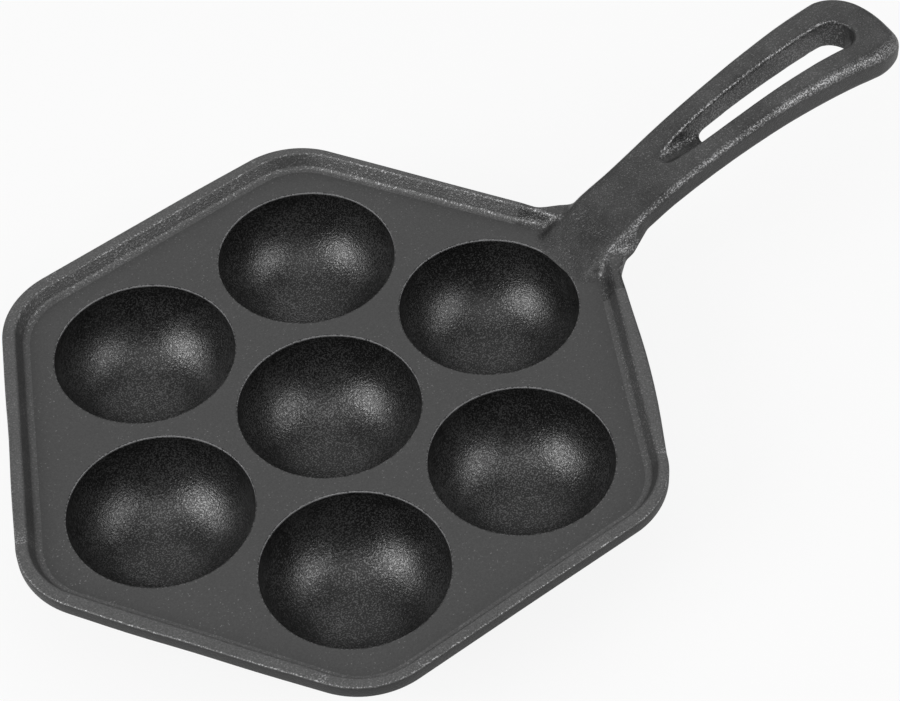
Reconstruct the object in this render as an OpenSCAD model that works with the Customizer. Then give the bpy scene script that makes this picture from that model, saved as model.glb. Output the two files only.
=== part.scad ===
// A pan for round filled pancakes: a six-sided deck with seven round cups, a low rim
// and a slotted handle. The real pan is one grey-iron casting. Each named region of it
// is a closed solid here, and meets its neighbours face to face.
// Sizes are in millimetres, +Z up. The origin lies on the resting plane, on the axis of
// the middle cup, and the handle leaves the deck along +X.

/* [Cups] */
// Diameter of each cup at its mouth
cup_mouth_d = 58; // [46:0.5:72]
// Depth of each cup below the deck
cup_depth = 27; // [20:0.5:29]
// Width of deck between two neighbouring mouths
web_w = 6.4; // [5:0.1:10]
// Iron under the middle of a cup
cup_floor_t = 4; // [3:0.5:6]
// Diameter of the flat foot under each cup
cup_foot_d = 16; // [10:1:20]
// Gap between two neighbouring domes where they leave the deck
dome_gap = 1.2; // [0.6:0.1:2]

/* [Deck] */
// Thickness of the deck
deck_t = 5; // [4:0.5:7]
// Deck between an outer mouth and the foot of the rim
deck_margin = 9.2; // [6:0.2:14]
// Radius of the six corners, at the outer edge
corner_r = 28.5; // [22:0.5:40]

/* [Rim] */
// Height of the rim above the deck
rim_h = 5.1; // [3:0.1:8]
// How far the rim's inner wall leans out
rim_lean = 2.3; // [1:0.1:5]
// Width of the flat land on top of the rim
rim_land_w = 4.1; // [3:0.1:7]
// Height of the rim's outer face
rim_lip_h = 4.5; // [3:0.1:7]
// Width of the rim where it meets the underside of the deck
rim_heel_w = 0.8; // [0.5:0.1:3]

/* [Handle] */
// Length of the handle, from the corner of the deck to the tip
handle_l = 122.5; // [90:0.5:160]
// Width of the handle at its neck
neck_w = 23.2; // [18:0.2:30]
// Width of the handle near its tip
tip_w = 35.2; // [30:0.2:44]
// Thickness of the handle at its neck
neck_t = 8.2; // [6:0.2:11]
// Thickness of the handle at its crest
crest_t = 10.6; // [8:0.2:13]
// Height of the handle's top above the deck, at the neck
neck_rise = 12.6; // [10:0.2:17]
// Height of the handle's top above the deck, at the crest
handle_rise = 28.3; // [22:0.1:40]
// Distance from the crest back to the tip
crest_to_tip = 34; // [20:0.5:45]
// Radius of the two corners of the tip
tip_corner_r = 14; // [8:0.5:15]
// Radius of the bowed end of the tip, between its corners
tip_end_r = 30; // [24:1:60]
// Radius of the two hollows where the handle flares into the rim
root_fillet_r = 20; // [12:0.5:26]
// Deck left between the handle's cup and the start of the handle
root_gap = 0.6; // [0.4:0.1:3]

/* [Slot] */
// Width of the slot at its near end
slot_neck_w = 9.2; // [7:0.2:12]
// Width of the slot at its far end
slot_tip_w = 14; // [12:0.2:18]
// Length of the slot on the underside of the handle
slot_l = 65.4; // [45:0.2:68]
// Iron between the slot and the tip
slot_end_w = 12.6; // [8:0.2:16]
// Length of the scooped ramp that leads down into the slot
scoop_l = 18; // [12:0.5:22]
// Width of the scooped ramp
scoop_w = 7.6; // [5:0.2:9]

/* [Hidden] */

$fn = 128;
ARC_STEPS = 24;
CORNER_STEPS = 12;
IRON = [0.25, 0.25, 0.26];
SIDES = 6;
TURN = 360 / SIDES;
HALF_TURN = TURN / 2;

// Cups: the mouths lie on a hexagonal lattice, one pitch apart.
cup_r = cup_mouth_d / 2;
pitch = cup_mouth_d + web_w;
deck_z = cup_depth + cup_floor_t;
under_z = deck_z - deck_t;

// Inside of a cup: a ball whose cap has the mouth's radius and the cup's depth.
bowl_r = (cup_r * cup_r + cup_depth * cup_depth) / (2 * cup_depth);
bowl_z = cup_floor_t + bowl_r;

// Outside of a cup: a ball through the dome's edge under the deck and through its foot.
dome_edge_r = (pitch - dome_gap) / 2;
foot_r = cup_foot_d / 2;
dome_z = (dome_edge_r * dome_edge_r + under_z * under_z - foot_r * foot_r) / (2 * under_z);
dome_r = sqrt(foot_r * foot_r + dome_z * dome_z);

// Rim: distances from the middle of the pan, square to a side.
foot_d = pitch * cos(HALF_TURN) + cup_r + deck_margin;
edge_d = foot_d + rim_lean + rim_land_w;
rim_top_z = deck_z + rim_h;
lip_z = rim_top_z - rim_lip_h;

// Corners: the arcs' centres, and half the straight length of a side.
arc_d = edge_d - corner_r;
arc_centre_x = arc_d / cos(HALF_TURN);
half_side = arc_d * tan(HALF_TURN);
corner_x = arc_centre_x + corner_r;
heel_x = corner_x - (edge_d - foot_d);

// Handle along X: start at the cup, neck where the flare ends, crest and tip.
root_x = pitch + cup_r + root_gap;
flare_y = neck_w / 2 + root_fillet_r;
neck_x = (edge_d + root_fillet_r - flare_y * sin(HALF_TURN)) / cos(HALF_TURN);
tip_x = corner_x + handle_l;
crest_x = tip_x - crest_to_tip;
neck_run = crest_x - neck_x;

// Handle in height: the top and the underside are arcs, level at the crest.
neck_top_z = deck_z + neck_rise;
neck_low_z = neck_top_z - neck_t;
crest_top_z = deck_z + handle_rise;
crest_low_z = crest_top_z - crest_t;
top_r = arc_radius(neck_run, crest_top_z - neck_top_z);
low_r = arc_radius(neck_run, crest_low_z - neck_low_z);

// Tip in plan: a bowed end, which runs into a round corner on either side.
tip_end_x = tip_x - tip_end_r;
tip_corner_y = tip_w / 2 - tip_corner_r;
tip_lean = asin(tip_corner_y / (tip_end_r - tip_corner_r));
tip_corner_x = tip_end_x + (tip_end_r - tip_corner_r) * cos(tip_lean);

// Handle in plan: each flank is one long arc from the neck to the corner of the tip.
flank_r = arc_radius(tip_corner_x - neck_x, (tip_w - neck_w) / 2);

// Slot: round ends joined by tangent lines, so its flanks part towards the tip.
slot_end_x = tip_x - slot_end_w;
slot_start_x = slot_end_x - slot_l;
slot_tip_r = slot_tip_w / 2;
slot_neck_r = slot_neck_w / 2;
rail_start_x = slot_start_x + slot_neck_r;
rail_end_x = slot_end_x - slot_tip_r;
slot_lean = asin((slot_tip_r - slot_neck_r) / (rail_end_x - rail_start_x));
slot_arc = 90 + slot_lean;

// Scoop: a round ramp from the handle's top down to the slot's near end.
scoop_r = scoop_w / 2;
scoop_x = slot_start_x - scoop_l;
scoop_drop = handle_top_z(scoop_x) - handle_low_z(slot_start_x);
scoop_angle = atan2(scoop_drop, scoop_l);
scoop_cut_l = 3 * scoop_l;

// Radius of an arc that is level at one end and falls by drop over run.
function arc_radius(run, drop) = (run * run + drop * drop) / (2 * drop);

// Height of an arc of radius r at x, when its top lies at the crest.
function arc_z(x, r, top_z) = top_z - r + sqrt(r * r - (x - crest_x) * (x - crest_x));
function handle_top_z(x) = arc_z(x, top_r, crest_top_z);
function handle_low_z(x) = arc_z(x, low_r, crest_low_z);

// Middle of cup number k: 0 is the middle cup, 1 is the cup beside the handle.
function cup_centre(k) =
    k == 0 ? [0, 0, 0] : [pitch * cos(TURN * (k - 1)), pitch * sin(TURN * (k - 1)), 0];

// Half the width of the handle past its neck, at x.
function flank_y(x) = neck_w / 2 + flank_r - sqrt(flank_r * flank_r - (x - neck_x) * (x - neck_x));

// Places along X between x0 and x1, in even steps.
function places(x0, x1) = [for (i = [0 : ARC_STEPS]) x0 + (x1 - x0) * i / ARC_STEPS];

// Points of a round corner of radius r about [cx, cy], from angle a0 to angle a1.
function corner_points(cx, cy, r, a0, a1) = [
    for (i = [0 : CORNER_STEPS])
        let (a = a0 + (a1 - a0) * i / CORNER_STEPS)
            [cx + r * cos(a), cy + r * sin(a)]
];

// The same outline on the other side of the X axis, walked the other way.
function mirrored(points) = [for (i = [len(points) - 1 : -1 : 0]) [points[i].x, -points[i].y]];

// The same outline turned about the origin.
function turned(points, angle) = [
    for (p = points)
        [p.x * cos(angle) - p.y * sin(angle), p.x * sin(angle) + p.y * cos(angle)]
];

// Six-sided outline with round corners, whose sides lie at distance d from the middle.
module rounded_hexagon(d) {
    corner = corner_points(arc_centre_x, 0, d - arc_d, -HALF_TURN, HALF_TURN);
    polygon([for (k = [1 : SIDES]) each turned(corner, TURN * k)]);
}

// The full deck without its mouths.
module deck_blank() {
    translate([0, 0, under_z]) linear_extrude(deck_t) rounded_hexagon(foot_d);
}

// The hollow of cup k, open to above the deck.
module bowl(k) {
    translate(cup_centre(k)) translate([0, 0, bowl_z]) sphere(r = bowl_r);
}

// Section of the rim: X is the distance past start_d, Y is the height.
module rim_section(start_d) {
    translate([-start_d, 0]) {
        polygon([
            [foot_d, under_z],
            [foot_d, deck_z],
            [foot_d + rim_lean, rim_top_z],
            [edge_d, rim_top_z],
            [edge_d, lip_z],
            [foot_d + rim_heel_w, under_z]
        ]);
    }
}

// The rim around corner k, beyond cup k.
module rim_arc(k) {
    rotate(TURN * (k - 1)) translate([arc_centre_x, 0, 0]) {
        rotate(-HALF_TURN) rotate_extrude(angle = TURN) rim_section(arc_d);
    }
}

// Plan of the two flares: round hollows that sweep from the neck out to the rim.
module flare_plan() {
    flare = corner_points(neck_x, flare_y, root_fillet_r, 180 + HALF_TURN, 270);
    arc_end = [arc_centre_x + corner_r * cos(HALF_TURN), corner_r * sin(HALF_TURN)];
    left = concat([arc_end], flare);
    polygon(concat(left, mirrored(left)));
}

// Side view of all that lies above the root's underside.
module above_root() {
    polygon([
        [root_x, lip_z],
        [corner_x, lip_z],
        [neck_x, neck_low_z],
        [neck_x, crest_top_z],
        [root_x, crest_top_z]
    ]);
}

// The flares are a flat web, level with the rim's top, that thins out under the neck.
module flares() {
    intersection() {
        translate([0, 0, lip_z]) linear_extrude(rim_lip_h) flare_plan();
        translate([0, flare_y, 0]) rotate([90, 0, 0]) linear_extrude(2 * flare_y) above_root();
    }
}

// Side view of the root: it climbs from the deck over the rim to the neck.
module root_profile() {
    polygon([
        [root_x, deck_z],
        [neck_x, neck_top_z],
        [neck_x, neck_low_z],
        [corner_x, lip_z],
        [heel_x, deck_z]
    ]);
}

// The climbing part of the root, as wide as the neck.
module root_bar() {
    translate([0, neck_w / 2, 0]) rotate([90, 0, 0]) linear_extrude(neck_w) root_profile();
}

// Side view of the handle past its neck: top and underside follow their arcs.
module handle_profile() {
    along = places(neck_x, tip_x);
    top = [for (x = along) [x, handle_top_z(x)]];
    low = [for (i = [ARC_STEPS : -1 : 0]) [along[i], handle_low_z(along[i])]];
    polygon(concat(top, low));
}

// Plan of the handle past its neck: two long flanks and a bowed tip with round corners.
module handle_plan() {
    flank = [for (x = places(neck_x, tip_corner_x)) [x, flank_y(x)]];
    corner = corner_points(tip_corner_x, tip_corner_y, tip_corner_r, 90, tip_lean);
    bow = corner_points(tip_end_x, 0, tip_end_r, tip_lean, 0);
    left = concat(flank, corner, bow);
    polygon(concat(left, mirrored(left)));
}

// Plan of the slot: two round ends of unlike size, joined by straight flanks.
module slot_plan() {
    near_end = corner_points(rail_start_x, 0, slot_neck_r, 180, slot_arc);
    far_end = corner_points(rail_end_x, 0, slot_tip_r, slot_arc, 0);
    left = concat(near_end, far_end);
    polygon(concat(left, mirrored(left)));
}

// Section of the scoop: a round floor with straight sides above it.
module scoop_section() {
    floor_arc = corner_points(-scoop_r, 0, scoop_r, -90, 90);
    polygon(concat([[-crest_t - scoop_w, -scoop_r]], floor_arc, [[-crest_t - scoop_w, scoop_r]]));
}

// The tilted cut whose lowest line is the floor of the ramp.
module scoop() {
    translate([scoop_x, 0, handle_top_z(scoop_x)]) {
        rotate([0, 90 + scoop_angle, 0]) {
            translate([0, 0, -scoop_l]) linear_extrude(scoop_cut_l) scoop_section();
        }
    }
}

// The whole handle past its neck, with its slot and ramp cut out.
module handle_blank() {
    difference() {
        intersection() {
            translate([0, tip_w, 0]) rotate([90, 0, 0]) linear_extrude(2 * tip_w) handle_profile();
            linear_extrude(crest_top_z + crest_t) handle_plan();
        }
        linear_extrude(crest_top_z + crest_t) slot_plan();
        scoop();
    }
}

// The part of the handle between two places along X, and between two across Y.
module handle_piece(x0, x1, y0, y1) {
    intersection() {
        handle_blank();
        translate([x0, y0, 0]) cube([x1 - x0, y1 - y0, crest_top_z + crest_t]);
    }
}

// Six-sided plate whose seven round mouths open into the cups.
module deck_plate() {
    color(IRON) difference() {
        deck_blank();
        for (k = [0 : SIDES]) bowl(k);
    }
}

// One cup below the deck: a domed shell with a small flat foot.
module cup(k) {
    color(IRON) difference() {
        intersection() {
            translate(cup_centre(k)) translate([0, 0, dome_z]) sphere(r = dome_r);
            translate(cup_centre(k)) translate([-dome_r, -dome_r, 0]) cube([2 * dome_r, 2 * dome_r, under_z]);
        }
        bowl(k);
    }
}

// One straight side of the rim, between corner k and the next.
module rim_side(k) {
    color(IRON) rotate(TURN * k - HALF_TURN) {
        translate([0, half_side, 0]) rotate([90, 0, 0]) linear_extrude(2 * half_side) rim_section(0);
    }
}

// One round corner of the rim. The handle's root takes the place of corner 1.
module rim_corner(k) {
    color(IRON) rim_arc(k);
}

// The root climbs off the deck and crosses corner 1 of the rim, with a flare at each side.
module handle_root() {
    color(IRON) union() {
        root_bar();
        flares();
        rim_arc(1);
    }
}

// Solid part of the handle, up to where the slot opens through.
module handle_shank() {
    color(IRON) handle_piece(neck_x, rail_start_x, -tip_w, tip_w);
}

// The two bars on either side of the slot.
module handle_rail_left() {
    color(IRON) handle_piece(rail_start_x, rail_end_x, 0, tip_w);
}

module handle_rail_right() {
    color(IRON) handle_piece(rail_start_x, rail_end_x, -tip_w, 0);
}

// The bowed end that closes the slot.
module handle_tip() {
    color(IRON) handle_piece(rail_end_x, tip_x, -tip_w, tip_w);
}

deck_plate();
cup(0);  // cup_middle
cup(1);  // cup_1
cup(2);  // cup_2
cup(3);  // cup_3
cup(4);  // cup_4
cup(5);  // cup_5
cup(6);  // cup_6
rim_side(1);  // rim_side_1
rim_side(2);  // rim_side_2
rim_side(3);  // rim_side_3
rim_side(4);  // rim_side_4
rim_side(5);  // rim_side_5
rim_side(6);  // rim_side_6
rim_corner(2);  // rim_corner_2
rim_corner(3);  // rim_corner_3
rim_corner(4);  // rim_corner_4
rim_corner(5);  // rim_corner_5
rim_corner(6);  // rim_corner_6
handle_root();
handle_shank();
handle_rail_left();
handle_rail_right();
handle_tip();
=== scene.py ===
import math

import bmesh
import bpy
from mathutils import Matrix, Vector


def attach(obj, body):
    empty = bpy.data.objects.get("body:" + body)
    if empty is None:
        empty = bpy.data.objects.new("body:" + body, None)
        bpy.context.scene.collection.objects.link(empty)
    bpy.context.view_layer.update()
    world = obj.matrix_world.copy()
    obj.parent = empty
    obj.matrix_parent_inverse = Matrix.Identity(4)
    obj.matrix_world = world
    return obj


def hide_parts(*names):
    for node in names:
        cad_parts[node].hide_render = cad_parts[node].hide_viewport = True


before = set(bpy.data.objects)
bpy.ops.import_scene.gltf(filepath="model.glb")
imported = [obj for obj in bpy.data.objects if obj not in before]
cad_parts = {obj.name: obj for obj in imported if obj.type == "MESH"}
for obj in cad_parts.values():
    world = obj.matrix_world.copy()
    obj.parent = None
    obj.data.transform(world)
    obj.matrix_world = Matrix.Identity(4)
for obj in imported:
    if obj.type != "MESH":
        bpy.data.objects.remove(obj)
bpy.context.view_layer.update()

mm = 0.001

# Camera
# The pan was photographed from the front left, from well above the deck, with a long lens
# and the camera turned a little clockwise.
view_azimuth = math.radians(-35.837)
view_elevation = math.radians(49.149)
view_roll = math.radians(3.41)
view_place = Vector((-298.2, -479.1, 704.7)) * mm
lens_mm = 111.9
film_mm = 36

camera_data = bpy.data.cameras.new("camera")
camera_data.lens = lens_mm
camera_data.sensor_width = film_mm
camera = bpy.data.objects.new("camera", camera_data)
bpy.context.scene.collection.objects.link(camera)
aim = Matrix.Rotation(view_azimuth, 4, "Z") @ Matrix.Rotation(math.pi / 2 - view_elevation, 4, "X")
camera.matrix_world = Matrix.Translation(view_place) @ aim @ Matrix.Rotation(-view_roll, 4, "Z")
bpy.context.scene.camera = camera
bpy.context.scene.view_settings.view_transform = "Standard"

# Cups
# Seven round cups hang under the deck, one in the middle and six around it. They are cast
# in grey iron with the rest of the pan, and the sand leaves their insides grainy. Each has
# a sharp mouth with its edge just broken, an even wall and a small flat foot to stand on.
cup_count = 7
cup_pitch = 64.4 * mm
turn = math.pi / 3
deck_z = 31 * mm
under_z = 26 * mm
mouth_r = 29 * mm
mouth_edge_r = 0.3 * mm
cup_depth = 27 * mm
fullness = 2.3
collar_r = 29.5 * mm
collar_low_r = 32.1 * mm
bowl_r = 29.074 * mm
bowl_z = 33.074 * mm
dome_r = 31.99 * mm
dome_z = 30.97 * mm
dome_top_z = 25.3 * mm
foot_edge = 0.7 * mm
cup_steps = 96
bowl_rings = 64
dome_rings = 40
weld = 0.001 * mm


def deselect_objects():
    bpy.ops.object.select_all(action="DESELECT")


def pick(kind, wanted):
    # Selects the vertices, edges or faces in edit mode whose every corner is wanted.
    bpy.ops.mesh.select_mode(type=kind)
    bpy.ops.mesh.select_all(action="DESELECT")
    mesh = bmesh.from_edit_mesh(bpy.context.object.data)
    parts = {"VERT": mesh.verts, "EDGE": mesh.edges, "FACE": mesh.faces}[kind]
    for part in parts:
        corners = [part] if kind == "VERT" else part.verts
        if all(wanted(corner.co) for corner in corners):
            part.select_set(True)
    mesh.select_flush_mode()
    bmesh.update_edit_mesh(bpy.context.object.data)


def near(a, b, slack=0.02 * mm):
    return abs(a - b) < slack


def round_about(co, r, z, slack=0.02 * mm):
    return near(math.hypot(co.x, co.y), r, slack) and near(co.z, z, slack)


def take(piece):
    # Selects this piece alone and makes it the active one.
    deselect_objects()
    piece.select_set(True)
    bpy.context.view_layer.objects.active = piece


def edit(piece):
    take(piece)
    bpy.ops.object.mode_set(mode="EDIT")


def slice_through(place, normal, clear=False, fill=False):
    # Cuts the whole piece on a plane, and may clear what lies on the side the normal points to.
    bpy.ops.mesh.select_all(action="SELECT")
    bpy.ops.mesh.bisect(
        plane_co=place, plane_no=normal, clear_outer=clear, use_fill=fill, threshold=weld)


def leave_edit():
    bpy.ops.object.mode_set(mode="OBJECT")


def join_to(piece, *others):
    take(piece)
    for other in others:
        other.select_set(True)
    bpy.ops.object.join()


def settle(piece, angle=35):
    # Puts the piece's place in its mesh, and shades it smooth up to an angle in degrees.
    take(piece)
    bpy.ops.object.transform_apply(location=True, rotation=True, scale=True)
    bpy.ops.object.shade_smooth_by_angle(angle=math.radians(angle))


# Inside of the cup: a ball cut off at the deck, with a narrow collar around its mouth.
deselect_objects()
bpy.ops.mesh.primitive_uv_sphere_add(
    segments=cup_steps, ring_count=bowl_rings, radius=bowl_r, location=(0, 0, bowl_z))
cup = bpy.context.object
bpy.ops.object.transform_apply(location=True)
edit(cup)
bpy.ops.mesh.select_all(action="SELECT")
bpy.ops.mesh.flip_normals()
slice_through((0, 0, deck_z), (0, 0, 1), clear=True)
# The bowl is pressed out a little fuller than a ball, with the same mouth and depth.
bowl = bmesh.from_edit_mesh(cup.data)
for vertex in bowl.verts:
    out = vertex.co.xy.length
    deep = max(deck_z - vertex.co.z, 0)
    reach = ((out / mouth_r) ** fullness + (deep / cup_depth) ** fullness) ** (-1 / fullness)
    vertex.co = (vertex.co.x * reach, vertex.co.y * reach, deck_z - deep * reach)
bmesh.update_edit_mesh(cup.data)
pick("EDGE", lambda co: near(co.z, deck_z))
bpy.ops.mesh.extrude_region_move()
grow = collar_r / mouth_r
bpy.ops.transform.resize(value=(grow, grow, 1), center_override=(0, 0, deck_z))
bpy.ops.mesh.extrude_region_move(TRANSFORM_OT_translate={"value": (0, 0, under_z - deck_z)})
grow = collar_low_r / collar_r
bpy.ops.transform.resize(value=(grow, grow, 1), center_override=(0, 0, under_z))
pick("EDGE", lambda co: round_about(co, mouth_r, deck_z, 0.1 * mm))
bpy.ops.mesh.bevel(offset=mouth_edge_r, segments=2, affect="EDGES")
leave_edit()

# Outside of the cup: a dome with a flat foot, bridged to the collar under the deck.
deselect_objects()
bpy.ops.mesh.primitive_uv_sphere_add(
    segments=cup_steps, ring_count=dome_rings, radius=dome_r, location=(0, 0, dome_z))
dome = bpy.context.object
bpy.ops.object.transform_apply(location=True)
edit(dome)
slice_through((0, 0, dome_top_z), (0, 0, 1), clear=True)
slice_through((0, 0, 0), (0, 0, -1), clear=True, fill=True)
pick("EDGE", lambda co: near(co.z, 0))
bpy.ops.mesh.bevel(offset=foot_edge, segments=3, affect="EDGES")
leave_edit()
join_to(cup, dome)
edit(cup)
dome_top_r = math.sqrt(dome_r ** 2 - (dome_z - dome_top_z) ** 2)
pick("EDGE", lambda co: (
    round_about(co, collar_low_r, under_z) or round_about(co, dome_top_r, dome_top_z)))
bpy.ops.mesh.bridge_edge_loops()
bpy.ops.mesh.select_all(action="SELECT")
bpy.ops.mesh.remove_doubles(threshold=weld)
bpy.ops.mesh.normals_make_consistent(inside=False)
leave_edit()


def copy_of(piece, name):
    take(piece)
    bpy.ops.object.duplicate()
    copy = bpy.context.object
    copy.name = name
    return copy


def around(point, angle):
    return Matrix.Rotation(angle, 4, "Z") @ Vector(point)


# The flat direction towards the camera: edges facing it get painted highlights as well as wear.
towards_camera = around((0, -1, 0), view_azimuth)


def cup_middle(number):
    # The middle cup is number 0, and number 1 is the one beside the handle.
    return around((cup_pitch, 0, 0), (number - 1) * turn) if number else Vector((0, 0, 0))


class Value:
    # One socket of a finish's nodes, so that sums on it read as plain Python.
    def __init__(self, tree, socket):
        self.tree = tree
        self.socket = socket

    def combine(self, operation, *terms):
        node = self.tree.nodes.new("ShaderNodeMath")
        node.operation = operation
        for place, term in zip(node.inputs, terms):
            if isinstance(term, Value):
                self.tree.links.new(term.socket, place)
            else:
                place.default_value = term
        return Value(self.tree, node.outputs[0])

    def __add__(self, other):
        return self.combine("ADD", self, other)

    def __sub__(self, other):
        return self.combine("SUBTRACT", self, other)

    def __rsub__(self, other):
        return self.combine("SUBTRACT", other, self)

    def __mul__(self, other):
        return self.combine("MULTIPLY", self, other)

    __radd__ = __add__
    __rmul__ = __mul__

    def clamped(self):
        whole = self.combine("ADD", self, 0.0)
        whole.socket.node.use_clamp = True
        return whole


class Finish:
    # A material and its nodes.
    def __init__(self, name):
        self.material = bpy.data.materials.new(name)
        self.material.use_nodes = True
        self.tree = self.material.node_tree
        self.shader = self.tree.nodes["Principled BSDF"]

    def node(self, kind, settings=None, sockets=None, output=0):
        node = self.tree.nodes.new(kind)
        for key, setting in (settings or {}).items():
            setattr(node, key, setting)
        for key, value in (sockets or {}).items():
            self.put(node.inputs[key], value)
        return Value(self.tree, node.outputs[output])

    def put(self, place, value):
        if isinstance(value, Value):
            self.tree.links.new(value.socket, place)
        else:
            place.default_value = value

    def set(self, **sockets):
        for key, value in sockets.items():
            self.put(self.shader.inputs[key.replace("_", " ")], value)


def iron_finish(
        name, shade, painted_wall_shade, gloss, shine, grain_size, grain_depth, speck_size, speck_start,
        speck_shade, mottle=0.3, contrast=0.85, level_from=1.0):
    # Seasoned grey iron: a dark baked skin with clouds and fine sand grain, and specks of bare
    # iron where the grain is rubbed through, most on worn edges. A face's level is painted shade:
    # it runs from the wall shade, where the face stands upright, to 1, where its normal's Z reaches
    # level_from, and the wear and highlight mark raises it. The lower it is, the darker the skin
    # and the fainter the specks.
    dark_share = 0.12
    wear_and_highlight_metal = (0.45, 0.45, 0.46, 1)
    wear_and_highlight_specks = 0.3
    wear_and_highlight_dull = 0.6
    speck_sharp = 14
    clouds_per_metre = 60.0
    cloud_specks = 0.3
    cloud_gloss = 0.12
    finer = 2.3
    fine_depth = 0.35
    finish = Finish(name)
    place = finish.node("ShaderNodeTexCoord", output="Object")

    def noise(scale, detail=1.0, roughness=0.55):
        return finish.node(
            "ShaderNodeTexNoise",
            sockets={"Vector": place, "Scale": scale, "Detail": detail, "Roughness": roughness})

    def stretched(value, times):
        return ((value - 0.5) * times + 0.5).clamped()

    def grey(level):
        return (level, level, level, 1)

    def mixed(share, one, other):
        return finish.node("ShaderNodeMix", {"data_type": "RGBA"}, {0: share, 6: one, 7: other}, 2)

    grain = noise(1 / grain_size)
    fine = noise(finer / grain_size)
    cloud = noise(clouds_per_metre, 4.0, 0.65)
    wear_and_highlight = finish.node("ShaderNodeAttribute", {"attribute_name": "wear_and_highlight"}, output="Fac")
    facing = finish.node("ShaderNodeNewGeometry", output="Normal")
    up = finish.node("ShaderNodeSeparateXYZ", sockets={0: facing}, output="Z")
    # Painted shade: the level falls as a face stands upright, and the wear and highlight mark
    # raises it.
    level = ((up * (1 / level_from)).clamped() * (1 - painted_wall_shade) + painted_wall_shade + wear_and_highlight).clamped()
    rubbed = noise(1 / speck_size) + (cloud - 0.5) * cloud_specks + wear_and_highlight * wear_and_highlight_specks
    bare = ((rubbed - speck_start) * speck_sharp).clamped() * level
    tone = stretched(cloud, 1.8) * mottle
    tone = tone + stretched(grain, 4) * (0.6 - mottle / 2) + stretched(fine, 4) * (0.4 - mottle / 2)
    skin = mixed(tone, grey(shade * (1 - contrast)), grey(shade * (1 + contrast)))
    skin = mixed(level, grey(shade * dark_share), skin)
    # Marked points are painted paler, partly as rubbed iron and partly as painted highlight.
    metal = mixed(wear_and_highlight, grey(speck_shade), wear_and_highlight_metal)
    relief = grain * grain_depth + fine * (grain_depth * fine_depth)
    bump = finish.node(
        "ShaderNodeBump", sockets={"Height": relief, "Distance": 1.0, "Strength": 1.0})
    finish.set(
        Base_Color=mixed(bare, skin, metal), Metallic=bare * (1 - wear_and_highlight * wear_and_highlight_dull), Normal=bump,
        Roughness=gloss + (stretched(cloud, 1.6) - 0.5) * cloud_gloss)
    finish.shader.inputs["Specular IOR Level"].default_value = shine
    return finish.material


def mark_wear_and_highlight(piece, wear_and_highlight_of):
    # Says how far each point of the piece is worn to bare iron or painted bright as a highlight,
    # from 0 to 1, by its place and the way that it faces.
    layers = piece.data.attributes
    wear_and_highlight = layers.get("wear_and_highlight") or layers.new("wear_and_highlight", "FLOAT", "POINT")
    for vertex in piece.data.vertices:
        wear_and_highlight.data[vertex.index].value = wear_and_highlight_of(vertex.co, vertex.normal)


def cast_in_iron(piece, finish, node):
    piece.data.materials.clear()
    piece.data.materials.append(finish)
    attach(piece, "root")
    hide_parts(node)


# The cups are baked nearly black, with painted shade on their steep walls, bare specks in the
# grain and a rubbed mouth edge that carries a painted highlight on its far half.
cup_iron = iron_finish(
    "cup_iron", shade=0.013, painted_wall_shade=0.2, gloss=0.31, shine=0.6, grain_size=0.6 * mm,
    grain_depth=0.12 * mm, speck_size=0.52 * mm, speck_start=0.52, speck_shade=0.16)


mouth_wear = 0.3
far_mouth_highlight = 0.5
far_mouth_highlight_run = 12 * mm
mouth_mark_r = mouth_r + 0.2 * mm
mouth_mark_z = deck_z - mouth_edge_r * 1.1


def mouth_wear_and_highlight(co, normal):
    # The mouth's edge is rubbed all round, and its far half, which faces the camera, is painted
    # brighter as a highlight, fading out on the near half.
    if co.z < mouth_mark_z or co.xy.length > mouth_mark_r:
        return 0
    # Painted highlight: the mark grows on the far half and falls to nothing on the near half.
    far = min(-co.dot(towards_camera) / far_mouth_highlight_run, 1)
    return max(mouth_wear + far_mouth_highlight * far, 0)


mark_wear_and_highlight(cup, mouth_wear_and_highlight)
for number in range(cup_count):
    copy = copy_of(cup, f"cup_{number}_shell" if number else "cup_middle_shell")
    bpy.ops.transform.translate(value=cup_middle(number))
    settle(copy)
    cast_in_iron(copy, cup_iron, f"cup_{number}" if number else "cup_middle")
bpy.data.objects.remove(cup)

# Deck
# One flat plate, six-sided with round corners, carries the cups. It is 5 mm thick, and its
# top is the smoothest face of the casting. It ends where the foot of the rim begins.
deck_t = 5 * mm
deck_d = 92.2 * mm
corner_arc_d = 71.872 * mm
half_side = corner_arc_d * math.tan(math.pi / 6)
arc_x = corner_arc_d / math.cos(math.pi / 6)
corner_steps = 24
outline_weld = 0.05 * mm


def one_point(name, place):
    # A new piece in edit mode with a single point at the place, ready to be drawn out.
    deselect_objects()
    bpy.ops.mesh.primitive_plane_add(size=mm, location=place)
    piece = bpy.context.object
    piece.name = name
    bpy.ops.object.transform_apply(location=True)
    edit(piece)
    bpy.ops.mesh.select_mode(type="VERT")
    bpy.ops.mesh.select_all(action="SELECT")
    bpy.ops.mesh.merge(type="CENTER")
    bpy.ops.mesh.select_all(action="SELECT")
    return piece


# The outline is walked once round: an arc about each corner, then the straight side after it.
deck = one_point("deck_iron_plate", (0, 0, deck_z))
arc_r = deck_d - corner_arc_d
bpy.ops.transform.translate(
    value=(arc_x + arc_r * math.cos(turn / 2), -arc_r * math.sin(turn / 2), 0))
for corner in range(6):
    middle = around((arc_x, 0, deck_z), corner * turn)
    bpy.ops.mesh.spin(steps=corner_steps, angle=-turn, center=middle, axis=(0, 0, 1))
    along = around((0, 2 * half_side, 0), corner * turn + turn / 2)
    bpy.ops.mesh.extrude_region_move(TRANSFORM_OT_translate={"value": along})
bpy.ops.mesh.select_all(action="SELECT")
bpy.ops.mesh.remove_doubles(threshold=outline_weld)

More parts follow.
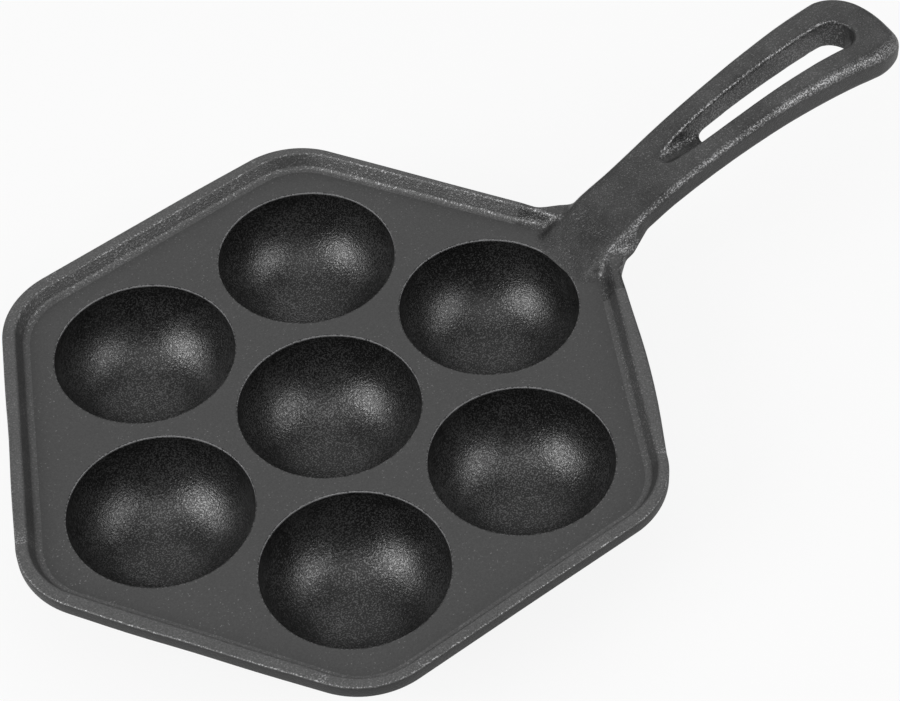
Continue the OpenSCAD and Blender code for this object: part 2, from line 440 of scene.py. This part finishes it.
# The seven mouths are left open as the top is filled, and widen a little on the way down.
for number in range(cup_count):
    place = cup_middle(number) + Vector((0, 0, deck_z))
    bpy.ops.mesh.primitive_circle_add(vertices=cup_steps, radius=collar_r, location=place)
bpy.ops.mesh.select_all(action="SELECT")
bpy.ops.mesh.fill(use_beauty=True)
bpy.ops.mesh.select_all(action="SELECT")
bpy.ops.mesh.extrude_region_move(TRANSFORM_OT_translate={"value": (0, 0, -deck_t)})
for number in range(cup_count):
    middle = cup_middle(number)
    pick("VERT", lambda co: round_about(co - middle, collar_r, under_z))
    grow = collar_low_r / collar_r
    bpy.ops.transform.resize(
        value=(grow, grow, 1), center_override=(middle.x, middle.y, under_z))
bpy.ops.mesh.select_all(action="SELECT")
bpy.ops.mesh.normals_make_consistent(inside=False)
leave_edit()
settle(deck)

# Its skin is smooth and a shade paler than the cups, with a few small bare specks. The paler
# shade is partly painted light, standing in for light on the flat top.
deck_iron = iron_finish(
    "deck_iron", shade=0.049, painted_wall_shade=0.8, gloss=0.46, shine=0.6, grain_size=0.6 * mm,
    grain_depth=0.06 * mm, speck_size=0.6 * mm, speck_start=0.71, speck_shade=0.25, contrast=0.25)
cast_in_iron(deck, deck_iron, "deck_plate")

# Rim
# A low wall stands all round the deck. It has a soft inner foot, a leaning inner wall, a
# flat land on top and an upright lip outside, and it is cast in one with the deck.
rim_foot_d = 93.972 * mm
rim_top_d = 96.272 * mm
rim_edge_d = 100.372 * mm
rim_heel_d = 94.772 * mm
rim_top_z = 36.1 * mm
rim_lip_z = 31.6 * mm
foot_round = 1.3 * mm
land_round = 0.75 * mm
lip_round = 0.5 * mm
side_steps = 12
hair = 0.01 * mm

# One side and the corner after it are made first. The bar starts as a plain block.
deselect_objects()
bpy.ops.mesh.primitive_cube_add(
    size=1, location=((deck_d + rim_edge_d) / 2, 0, (under_z + deck_z) / 2),
    scale=(rim_edge_d - deck_d, 2 * half_side, deck_t))
bar = bpy.context.object
bpy.ops.object.transform_apply(location=True, scale=True)
edit(bar)
slice_through((rim_foot_d, 0, 0), (1, 0, 0))
pick("FACE", lambda co: near(co.z, deck_z) and co.x > rim_foot_d - hair)
bpy.ops.mesh.extrude_region_move(TRANSFORM_OT_translate={"value": (0, 0, rim_top_z - deck_z)})
pick("EDGE", lambda co: near(co.z, rim_top_z) and near(co.x, rim_foot_d))
bpy.ops.transform.translate(value=(rim_top_d - rim_foot_d, 0, 0))
slant = Vector((rim_lip_z - under_z, 0, rim_heel_d - rim_edge_d)).normalized()
slice_through((rim_heel_d, 0, under_z), slant, clear=True, fill=True)
for d, z, rounding, steps in (
        (rim_foot_d, deck_z, foot_round, 4), (rim_top_d, rim_top_z, land_round, 3),
        (rim_edge_d, rim_top_z, land_round, 3), (rim_edge_d, rim_lip_z, lip_round, 2),
        (rim_heel_d, under_z, lip_round, 2)):
    pick("EDGE", lambda co: near(co.x, d) and near(co.z, z))
    bpy.ops.mesh.bevel(offset=rounding, segments=steps, affect="EDGES")
for step in range(1, side_steps):
    slice_through((0, (2 * step / side_steps - 1) * half_side, 0), (0, 1, 0))
pick("FACE", lambda co: near(co.y, half_side))
bpy.ops.mesh.spin(
    steps=corner_steps, angle=-turn, center=(corner_arc_d, half_side, 0), axis=(0, 0, 1))
leave_edit()


def turn_outward():
    bpy.ops.mesh.select_all(action="SELECT")
    bpy.ops.mesh.normals_make_consistent(inside=False)


def keep_between(piece, cuts):
    # Each cut is a place and a direction, and what lies past the place in that direction goes.
    edit(piece)
    for place, direction in cuts:
        slice_through(place, direction, clear=True, fill=True)
    turn_outward()
    leave_edit()


# The outside of a real rim isn't quite true. For each side in turn, from the one left of the
# handle: places along it, and how far out its outside lies from a true hexagon, in millimetres.
off_true = (
    ((-41.5, -2.3), (-20, -2.2), (0, -2.0), (20, -1.7), (41.5, -1.5)),
    ((-41.5, -0.5), (-20, -0.1), (0, -0.05), (20, -0.03), (41.5, -0.03)),
    ((-41.5, 0), (-20, 0), (0, -0.3), (20, -0.1), (41.5, -0.35)),
    ((-41.5, 0.3), (-20, 0.55), (0, 0.2), (20, 0.15), (41.5, -0.3)),
    ((-41.5, -0.6), (-20, -0.5), (0, -0.4), (20, -0.2), (41.5, 0)),
    ((-41.5, -1.1), (-20, 0.3), (0, 0.5), (20, -0.4), (41.5, -1.2)))
moved_over = 3.3 * mm
handle_clear = 15.5 * mm
handle_fade = 6.5 * mm
handle_near_x = 90 * mm


def smooth_through(table, x):
    # The values at x, in metres, on a smooth curve through the places of the table.
    x = min(max(x / mm, table[0][0]), table[-1][0])
    number = max(i for i in range(len(table) - 1) if table[i][0] <= x + 1e-9)
    start, end = table[number], table[number + 1]
    before = table[max(number - 1, 0)]
    after = table[min(number + 2, len(table) - 1)]
    run = end[0] - start[0]
    t = (x - start[0]) / run
    values = []
    for column in range(1, len(start)):
        rise_in = (end[column] - before[column]) / (end[0] - before[0]) * run
        rise_out = (after[column] - start[column]) / (after[0] - start[0]) * run
        values.append((
            (2 * t ** 3 - 3 * t ** 2 + 1) * start[column] + (t ** 3 - 2 * t ** 2 + t) * rise_in
            + (3 * t ** 2 - 2 * t ** 3) * end[column] + (t ** 3 - t ** 2) * rise_out) * mm)
    return values


def rim_place(co):
    # A point's distance out from the middle, the way out, and how far the rim is off true there.
    corner = round(math.atan2(co.y, co.x) / turn)
    local = around(co, -corner * turn)
    swing = math.atan2(local.y, local.x - arc_x)
    if abs(swing) < turn / 2:
        share = swing / turn + 0.5
        before, after = off_true[(corner - 1) % 6][-1][1], off_true[corner % 6][0][1]
        out = corner_arc_d + math.hypot(local.x - arc_x, local.y)
        return out, corner * turn + swing, (before * (1 - share) + after * share) * mm
    side = (corner if local.y > 0 else corner - 1) % 6
    angle = side * turn + turn / 2
    local = around(co, -angle)
    return local.x, angle, smooth_through(off_true[side], local.y)[0]


def cast_off_true(piece):
    # Moves the outside of the rim, but nothing under the handle.
    for vertex in piece.data.vertices:
        out, angle, off = rim_place(vertex.co)
        share = min(max((out - rim_top_d) / moved_over, 0), 1)
        if vertex.co.x > handle_near_x:
            clear = min(max((abs(vertex.co.y) - handle_clear) / handle_fade, 0), 1)
            share *= clear * clear * (3 - 2 * clear)
        vertex.co += around((off * share, 0, 0), angle)
    piece.data.update()


# Its walls are darkened by painted shade and its land is paler, and the edges that face the
# camera are chipped bright, partly as real wear and partly as painted highlight.
rim_iron = iron_finish(
    "rim_iron", shade=0.08, painted_wall_shade=-0.5, gloss=0.42, shine=0.6, grain_size=0.6 * mm,
    grain_depth=0.13 * mm, speck_size=0.6 * mm, speck_start=0.65, speck_shade=0.24, contrast=0.45,
    level_from=0.75)
outer_edge_wear_and_highlight = 0.5
inner_edge_wear_and_highlight = 0.32
foot_wear_and_highlight = 0.22
wall_wear_and_highlight = 0.16
outer_edge_d = rim_top_d + 1.2 * mm
foot_mark_d = rim_foot_d - 1.4 * mm
wall_mark_d = (rim_foot_d - 0.5 * mm, rim_top_d + 0.5 * mm)
edge_mark_z = rim_top_z - 0.9 * mm
foot_mark_z = deck_z + 1.2 * mm
flat_from = 0.97
steep_below = 0.62
camera_facing_from = 0.05


def rim_wear_and_highlight(co, normal):
    # The outer edge is chipped the most, then the inner edge, the foot and the inner wall, partly
    # as real wear and partly as painted highlight. What lies flat or faces away from the camera
    # isn't marked.
    out = rim_place(co)[0]
    if normal.z > flat_from or normal.dot(towards_camera) < camera_facing_from:
        return 0
    if normal.z < steep_below:
        on_wall = wall_mark_d[0] < out < wall_mark_d[1] and co.z > deck_z
        return wall_wear_and_highlight if on_wall else 0
    if co.z > edge_mark_z:
        return outer_edge_wear_and_highlight if out > outer_edge_d else inner_edge_wear_and_highlight
    return foot_wear_and_highlight if co.z < foot_mark_z and out > foot_mark_d else 0


def set_in_rim(name, cuts, angle):
    piece = copy_of(bar, name + "_wall")
    keep_between(piece, cuts)
    piece.rotation_euler.z = angle
    settle(piece)
    cast_off_true(piece)
    mark_wear_and_highlight(piece, rim_wear_and_highlight)
    cast_in_iron(piece, rim_iron, name)


# It is copied round the deck. The corner under the handle is part of the handle's root.
root_reach = 14 * mm
for number in range(1, 7):
    high = half_side - (root_reach if number == 6 else 0)
    cuts = [((0, high, 0), (0, 1, 0))]
    if number == 1:
        cuts.append(((0, root_reach - half_side, 0), (0, -1, 0)))
    set_in_rim(f"rim_side_{number}", cuts, number * turn - turn / 2)
for number in range(2, 7):
    cuts = [((0, half_side, 0), (0, -1, 0))]
    set_in_rim(f"rim_corner_{number}", cuts, (number - 1) * turn - turn / 2)

# Handle
# A flat bar climbs from the mouth of the nearest cup, over one corner of the rim, to a crest
# near its end. It is cast with the pan. Flat flares join it to the rim on either side, and a
# long slot, with a ramp at its near end, lightens it and hangs it on a hook.
bar_start_x = 93.4 * mm
neck_x = 120.75 * mm
tip_x = 233.95 * mm
tip_half = 17.6 * mm
tip_corner_r = 14 * mm
tip_end_r = 30 * mm
blank_t = 10 * mm
flank_steps = 44
tip_corner_steps = 12
tip_end_steps = 4
slot_far_steps = 12
slot_steps = 26
# Along the handle: the distance, the top, the underside and half the width, in millimetres.
bar_places = (
    (93.4, 31.0, 30.0, 11.2), (97, 32.7, 30.0, 11.3), (100.8, 34.6, 30.0, 11.4),
    (105.4, 36.7, 30.6, 11.4), (109, 38.8, 31.6, 11.5), (112, 40.3, 32.3, 11.6),
    (118, 42.8, 34.4, 11.6), (125, 45.1, 36.6, 11.6), (132, 47.4, 38.9, 11.7),
    (140, 49.8, 41.1, 12.05), (150, 52.4, 43.4, 12.55), (160, 54.6, 45.2, 13.05),
    (170, 56.4, 46.6, 13.6), (180, 57.9, 47.7, 14.25), (190, 58.8, 48.3, 15.0),
    (200, 59.25, 48.6, 15.9), (210, 59.1, 48.3, 16.75), (219.6, 58.4, 47.4, 17.5),
    (234, 57.0, 46.2, 17.6))
# Along the slot: the distance and half its width at the top, in millimetres.
slot_places = (
    (137.4, 0), (137.8, 0.9), (138.6, 1.7), (140.4, 2.5), (145, 3.4), (152, 4.3), (160, 4.85),
    (175, 5.4), (190, 5.8), (205, 6.3), (214, 6.8))
slot_end_x = 221.3 * mm


def walk(name, points, height):
    # A flat outline walked from point to point with extruded edges, closed into one face.
    piece = one_point(name, (points[0][0], points[0][1], height))
    for before, after in zip(points, points[1:]):
        bpy.ops.mesh.extrude_region_move(TRANSFORM_OT_translate={
            "value": (after[0] - before[0], after[1] - before[1], 0)})
    bpy.ops.mesh.select_all(action="SELECT")
    bpy.ops.mesh.edge_face_add()
    bpy.ops.mesh.select_all(action="SELECT")
    return piece


def arc(middle, radius, start, end, steps):
    return [
        (middle[0] + radius * math.cos(start + (end - start) * i / steps),
         middle[1] + radius * math.sin(start + (end - start) * i / steps))
        for i in range(steps + 1)]


# One half of the bar is walked round in plan, made thick and mirrored.
tip_corner_y = tip_half - tip_corner_r
tip_lean = math.asin(tip_corner_y / (tip_end_r - tip_corner_r))
tip_corner_x = tip_x - tip_end_r + (tip_end_r - tip_corner_r) * math.cos(tip_lean)
flank = []
for i in range(flank_steps):
    x = bar_start_x + (tip_corner_x - bar_start_x) * i / flank_steps
    flank.append((x, smooth_through(bar_places, x)[2]))
flank += arc(
    (tip_corner_x, tip_corner_y), tip_corner_r, math.pi / 2, tip_lean, tip_corner_steps)
flank += arc((tip_x - tip_end_r, 0), tip_end_r, tip_lean, 0, tip_end_steps)[1:]
slot_far_r = slot_places[-1][1] * mm
slot_turn_x = slot_places[-1][0] * mm
slot_side = arc((slot_turn_x, 0), slot_far_r, 0, math.pi / 2, slot_far_steps)
slot_stretch = (slot_end_x - slot_turn_x) / slot_far_r
slot_side = [(slot_turn_x + (x - slot_turn_x) * slot_stretch, y) for x, y in slot_side]
slot_even_x = slot_places[3][0] * mm
for i in range(1, slot_steps + 1):
    x = slot_turn_x + (slot_even_x - slot_turn_x) * i / slot_steps
    slot_side.append((x, smooth_through(slot_places, x)[0]))
slot_side += [(x * mm, y * mm) for x, y in slot_places[2::-1]]
handle = walk("handle_blank", [(bar_start_x, 0)] + flank + slot_side, 0)
bpy.ops.mesh.extrude_region_move(TRANSFORM_OT_translate={"value": (0, 0, blank_t)})
turn_outward()
pick("FACE", lambda co: abs(co.y) < weld)
bpy.ops.mesh.delete(type="FACE")
leave_edit()


def finish_with(piece, kind, **settings):
    # Adds a modifier to the piece, sets it and applies it at once.
    take(piece)
    modifier = piece.modifiers.new(kind.lower(), kind)
    for key, setting in settings.items():
        setattr(modifier, key, setting)
    bpy.ops.object.modifier_apply(modifier=modifier.name)


finish_with(handle, "MIRROR", use_axis=(False, True, False), merge_threshold=hair)

# Its edges are rounded: the top ones widely, and more so towards the tip and on its right.
# Each rounding is a share of top_edge_r, and each gain is what the tip or the right adds to it.
top_edge_r = 5 * mm
slot_top_round = 0.2
slot_low_round = 0.12
low_round, low_gain = 0.24, 0.2
top_round, top_gain = 0.4, 0.6
tip_round, tip_gain = 0.3, 0.7
left_share, right_gain = 0.3, 0.7
right_start_y = -6 * mm
right_run = 8 * mm
slot_wide = 8.6 * mm
slot_start_x = 137 * mm
longest_edge = 4 * mm
weights = handle.data.attributes.new("bevel_weight_edge", "FLOAT", "EDGE")
for edge in handle.data.edges:
    a, b = (handle.data.vertices[i].co for i in edge.vertices)
    middle = (a + b) / 2
    upright = abs(a.z - b.z) > 10 * hair
    across = abs(a.x - b.x) + abs(a.y - b.y) > longest_edge
    if upright or across or abs(middle.y) < hair:
        continue
    on_top = middle.z > blank_t / 2
    along = min(max((middle.x - neck_x) / (tip_x - neck_x), 0), 1)
    right = left_share + right_gain * min(max((right_start_y - middle.y) / right_run, 0), 1)
    if abs(middle.y) < slot_wide and slot_start_x < middle.x < slot_end_x + 10 * hair:
        rounding = slot_top_round if on_top else slot_low_round
    elif middle.x < bar_start_x + hair:
        continue
    elif not on_top:
        rounding = low_round + low_gain * along ** 2
    elif middle.x > tip_corner_x:
        rounding = tip_round + tip_gain * right
    else:
        rounding = top_round + top_gain * right * along ** 2
    weights.data[edge.index].value = rounding
finish_with(
    handle, "BEVEL", limit_method="WEIGHT", width=top_edge_r, segments=5, use_clamp_overlap=False)

# The blank is sliced across, and then every slice is given its height and thickness.
edit(handle)
slices = 92
for i in range(1, slices):
    x = bar_start_x + (tip_x - bar_start_x) * i / slices
    slice_through((x, 0, 0), (1, 0, 0))
form = bmesh.from_edit_mesh(handle.data)
slot_draft = 0.7 * mm
slot_draft_past = 3 * mm
slot_draft_run = 7 * mm
slot_draft_half = 9 * mm
rail_w = 4.5 * mm
root_draft = 0.45
root_draft_end_x = 122 * mm
root_draft_run = 9 * mm
reach_start_x = 216 * mm
reach_run = 12 * mm
right_reach = 2.7 * mm
right_reach_y = -14.5 * mm
right_reach_w = 5.5 * mm
for vertex in form.verts:
    x, y, z = vertex.co
    top, low, half = smooth_through(bar_places, x)
    share = z / blank_t
    vertex.co.z = low + (top - low) * share
    side = math.copysign(1, y) if abs(y) > hair else 0
    if slot_start_x < x < slot_end_x + slot_draft_past and abs(y) < half - rail_w:
        vertex.co.y -= side * slot_draft * (1 - share)
        if x > slot_turn_x and abs(y) < slot_draft_half:
            far = min(max((x - slot_turn_x) / slot_draft_run, 0), 1)
            vertex.co.x -= slot_draft * (1 - share) * far
    else:
        wide = root_draft * min(max((root_draft_end_x - x) / root_draft_run, 0), 1)
        vertex.co.y += side * wide * (1 - share) * (top - low) * min(abs(y) / half, 1)
    # The corner on the right of the tip reaches a little further than the one on the left.
    if y < 0 and x > reach_start_x:
        reach = right_reach * math.exp(-((y - right_reach_y) / right_reach_w) ** 2)
        vertex.co.x += reach * min((x - reach_start_x) / reach_run, 1)
bmesh.update_edit_mesh(handle.data)
turn_outward()
leave_edit()

# The ramp is a block in the near end of the slot, sloped from the bar's top to its
# underside and hollowed at its low end.
ramp_start_x = slot_start_x
ramp_end_x = 158 * mm
ramp_half_w = 4.9 * mm
ramp_lip = 0.9 * mm
ramp_behind = 2 * mm
ramp_sunk = 1 * mm
ramp_brow = 1.2 * mm
ramp_brow_sunk = 0.7 * mm
ramp_top, ramp_low = smooth_through(bar_places, ramp_start_x)[:2]
ramp_end_low = smooth_through(bar_places, ramp_end_x)[1]
ramp_side = [
    (ramp_start_x - ramp_behind, ramp_low + ramp_sunk), (ramp_end_x, ramp_end_low),
    (ramp_end_x, ramp_end_low + ramp_lip), (ramp_start_x + ramp_brow, ramp_top - ramp_brow_sunk),
    (ramp_start_x - ramp_behind, ramp_top - ramp_sunk)]
ramp = walk("ramp", ramp_side, 0)
bpy.ops.mesh.extrude_region_move(TRANSFORM_OT_translate={"value": (0, 0, 2 * ramp_half_w)})
turn_outward()
leave_edit()
ramp.rotation_euler.x = math.pi / 2
ramp.location.y = ramp_half_w
settle(ramp)
hollow_r = 4.6 * mm
hollow_x = 160.6 * mm
hollow_z = 45 * mm
hollow_h = 40 * mm
deselect_objects()
bpy.ops.mesh.primitive_cylinder_add(
    vertices=64, radius=hollow_r, depth=hollow_h, location=(hollow_x, 0, hollow_z))
hollow = bpy.context.object
finish_with(ramp, "BOOLEAN", operation="DIFFERENCE", object=hollow, solver="EXACT")
bpy.data.objects.remove(hollow)

# Each flare is a flat web between the land of the rim and the flank of the handle.
flare_r = 20 * mm
neck_half = 11.6 * mm
flare_steps = 16
flare_inside = ((109.6 * mm, 0), (106 * mm, 13.3 * mm), (101.8 * mm, 20.6 * mm))
flare_middle = (neck_x, neck_half + flare_r)
flare_points = arc(flare_middle, flare_r, -math.pi * 5 / 6, -math.pi / 2, flare_steps)
flare_points += [(neck_x, 0), *flare_inside]
flare_low_x = 111.5 * mm
flare_slant = Vector((3.8, 0, -9.25)).normalized()
flare = walk("flare", flare_points, rim_lip_z)
bpy.ops.mesh.extrude_region_move(TRANSFORM_OT_translate={"value": (0, 0, rim_top_z - rim_lip_z)})
turn_outward()
slice_through((flare_low_x, 0, rim_lip_z), flare_slant, clear=True, fill=True)
leave_edit()
finish_with(flare, "MIRROR", use_axis=(False, True, False), use_mirror_merge=False)

# The corner of the rim that the handle crosses, and the ends of the two sides beside it.
root_spare = 5 * mm
root_end = root_reach + root_spare
rim_end = copy_of(bar, "rim_end")
keep_between(rim_end, [((0, half_side - root_end, 0), (0, -1, 0))])
rim_end.rotation_euler.z = -turn / 2
settle(rim_end)
rim_start = copy_of(bar, "rim_start")
keep_between(rim_start, [((0, root_end - half_side, 0), (0, 1, 0))])
rim_start.rotation_euler.z = turn / 2
settle(rim_start)

# A slab of deck stands in while the root is blended, and is cut off again afterwards.
slab_d = 93.5 * mm
slab_t = 2 * mm
slab_start_x = 78 * mm
deselect_objects()
bpy.ops.mesh.primitive_cylinder_add(
    vertices=6, radius=slab_d / math.cos(turn / 2), depth=slab_t,
    location=(0, 0, deck_z - slab_t / 2))
slab = bpy.context.object
slab.rotation_euler.z = turn / 2
bpy.ops.object.transform_apply(location=True, rotation=True)
edit(slab)
slice_through((slab_start_x, 0, 0), (-1, 0, 0), clear=True, fill=True)
turn_outward()
leave_edit()

# All of it is run together into one skin, as the iron runs in the mould, and softened.
skin_step = 0.42 * mm
true_rim = copy_of(rim_end, "true_rim")
true_start = copy_of(rim_start, "true_start")
join_to(true_rim, true_start)
join_to(handle, flare, ramp, rim_end, rim_start, slab)
finish_with(handle, "REMESH", mode="VOXEL", voxel_size=skin_step)
finish_with(handle, "SMOOTH", factor=0.5, iterations=4)
# Swelling the skin and drawing it back fills its inner corners with round hollows.
hollow_fill = 2.2 * mm
finish_with(handle, "DISPLACE", strength=hollow_fill, mid_level=0)
finish_with(handle, "REMESH", mode="VOXEL", voxel_size=skin_step)
finish_with(handle, "SMOOTH", factor=0.5, iterations=4)
finish_with(handle, "DISPLACE", strength=-hollow_fill, mid_level=0)
finish_with(handle, "REMESH", mode="VOXEL", voxel_size=skin_step)
finish_with(handle, "SMOOTH", factor=0.5, iterations=6)

# Near its two ends the softened rim is drawn back on to the true one, so that it meets the
# straight sides without a step.
end_fade = 5 * mm
rim_start_d = deck_d + 0.4 * mm
ends = handle.vertex_groups.new(name="ends")
for vertex in handle.data.vertices:
    for way in (1, -1):
        local = around(vertex.co, -way * turn / 2)
        past = way * local.y + half_side - root_reach
        if past > -end_fade and local.x > rim_start_d and way * local.y < 0:
            ends.add([vertex.index], min(1, past / end_fade + 1), "REPLACE")
finish_with(handle, "SHRINKWRAP", target=true_rim, vertex_group="ends")

# The skin is parted into the root, the shank, the two rails beside the slot and the tip.
seam_z = deck_z + 0.03 * mm
rail_start_x = 160.6 * mm
rail_end_x = 214.4 * mm
end_cuts = []
for way in (1, -1):
    end_cuts.append((
        around((0, way * (root_reach - half_side), 0), way * turn / 2),
        around((0, way, 0), way * turn / 2)))
root = copy_of(handle, "handle_root_iron")
keep_between(root, [((0, 0, seam_z), (0, 0, -1)), ((neck_x, 0, 0), (1, 0, 0))] + end_cuts)
keep_between(true_rim, [((0, 0, seam_z), (0, 0, 1))] + end_cuts)
join_to(root, true_rim)
shank = copy_of(handle, "handle_shank_iron")
keep_between(shank, [((neck_x, 0, 0), (-1, 0, 0)), ((rail_start_x, 0, 0), (1, 0, 0))])
rail_cuts = [((rail_start_x, 0, 0), (-1, 0, 0)), ((rail_end_x, 0, 0), (1, 0, 0))]
rail_left = copy_of(handle, "handle_rail_left_iron")
keep_between(rail_left, rail_cuts + [((0, 0, 0), (0, -1, 0))])
rail_right = copy_of(handle, "handle_rail_right_iron")
keep_between(rail_right, rail_cuts + [((0, 0, 0), (0, 1, 0))])
tip = copy_of(handle, "handle_tip_iron")
keep_between(tip, [((rail_end_x, 0, 0), (-1, 0, 0))])

# The handle is matt, with painted shade on its flanks, and its grain rubbed bright along the
# rounded edge on its right and on the left wall of the slot, partly as wear and partly as a
# painted highlight from the lamp on the right.
handle_iron = iron_finish(
    "handle_iron", shade=0.04, painted_wall_shade=0.3, gloss=0.34, shine=0.65, grain_size=0.6 * mm,
    grain_depth=0.16 * mm, speck_size=0.55 * mm, speck_start=0.61, speck_shade=0.2, mottle=0.7,
    contrast=1.0)
rim_end_x = 105 * mm
beside_y = 11 * mm
right_edge_wear_and_highlight = 0.34
right_edge_w = 7 * mm
slot_wall_wear_and_highlight = 0.3
slot_edge_wear_and_highlight = 0.38
left_rail_w = 5 * mm
# How a face's normal has to point, in Y and in Z, to be on that edge or wall.
right_edge_y, right_edge_z = -0.22, (0.25, flat_from)
slot_wall_y, slot_edge_z = -0.3, (0.3, 0.93)


def handle_wear_and_highlight(co, normal):
    # The rounded edge on the right, the left wall of the slot, and the rim beside the handle, each
    # marked as partly wear and partly painted highlight.
    half = smooth_through(bar_places, co.x)[2]
    on_right_edge = co.y < right_edge_w - half and normal.y < right_edge_y
    if co.x > rim_end_x and on_right_edge and right_edge_z[0] < normal.z < right_edge_z[1]:
        return right_edge_wear_and_highlight
    if co.x > slot_start_x and 0 < co.y < half - left_rail_w and normal.y < slot_wall_y:
        on_slot_edge = slot_edge_z[0] < normal.z < slot_edge_z[1]
        return slot_edge_wear_and_highlight if on_slot_edge else slot_wall_wear_and_highlight
    if co.x < rim_end_x and abs(co.y) > beside_y:
        return rim_wear_and_highlight(co, normal)
    return 0


for piece, node in (
        (root, "handle_root"), (shank, "handle_shank"), (rail_left, "handle_rail_left"),
        (rail_right, "handle_rail_right"), (tip, "handle_tip")):
    settle(piece)
    if node == "handle_root":
        cast_off_true(piece)
    mark_wear_and_highlight(piece, handle_wear_and_highlight)
    cast_in_iron(piece, handle_iron, node)
bpy.data.objects.remove(handle)
bpy.data.objects.remove(bar)

# Floor and light
# The pan stands on a plain pale floor under a white sky. Large soft lamps hang round it, the
# strongest on the left and the right of the camera.
floor_size = 8
floor_z = -0.2 * mm
floor_glow = 0.88
lamp_distance = 1.4
sky_strength = 0.14
deselect_objects()
bpy.ops.mesh.primitive_plane_add(size=floor_size, location=(0, 0, floor_z))
floor = bpy.context.object
floor.name = "floor"
bpy.ops.object.transform_apply(location=True)
floor_finish = Finish("floor_white")
floor_finish.set(Base_Color=(0.8, 0.8, 0.8, 1), Roughness=0.9)
seen = floor_finish.node("ShaderNodeLightPath", output="Is Camera Ray")
glow = floor_finish.node("ShaderNodeEmission", sockets={"Color": (1, 1, 1, 1), "Strength": 1.0})
plain = Value(floor_finish.tree, floor_finish.shader.outputs[0])
both = floor_finish.node("ShaderNodeMixShader", sockets={0: seen * floor_glow, 1: plain, 2: glow})
floor_finish.put(floor_finish.tree.nodes["Material Output"].inputs["Surface"], both)
floor.data.materials.append(floor_finish.material)


def soft_lamp(name, round_from_right, height, size, power):
    # The lamp's place is in degrees, round from the picture's right and up from the floor, its
    # size in metres and its power in watts.
    lamp_data = bpy.data.lights.new(name, "AREA")
    lamp_data.shape = "DISK"
    lamp_data.size = size
    lamp_data.energy = power
    lamp = bpy.data.objects.new(name, lamp_data)
    bpy.context.scene.collection.objects.link(lamp)
    aside = math.radians(round_from_right) + view_azimuth
    up = math.radians(height)
    flat = math.cos(up)
    towards = Vector((math.cos(aside) * flat, math.sin(aside) * flat, math.sin(up)))
    lamp.location = towards * lamp_distance
    lamp.rotation_euler = towards.to_track_quat("Z", "Y").to_euler()


soft_lamp("lamp_left", round_from_right=212, height=36, size=0.9, power=10)
soft_lamp("lamp_left_side", round_from_right=186, height=30, size=0.9, power=2.5)
soft_lamp("lamp_right", round_from_right=334, height=33, size=0.9, power=5.2)
soft_lamp("lamp_right_side", round_from_right=356, height=30, size=0.9, power=2.5)
soft_lamp("lamp_front", round_from_right=270, height=68, size=1.2, power=3.5)
soft_lamp("lamp_back", round_from_right=88, height=48, size=1.6, power=4)

world = bpy.data.worlds.new("world")
bpy.context.scene.world = world
world.use_nodes = True
sky = world.node_tree.nodes["Background"]
sky.inputs["Color"].default_value = (1, 1, 1, 1)
sky.inputs["Strength"].default_value = sky_strength
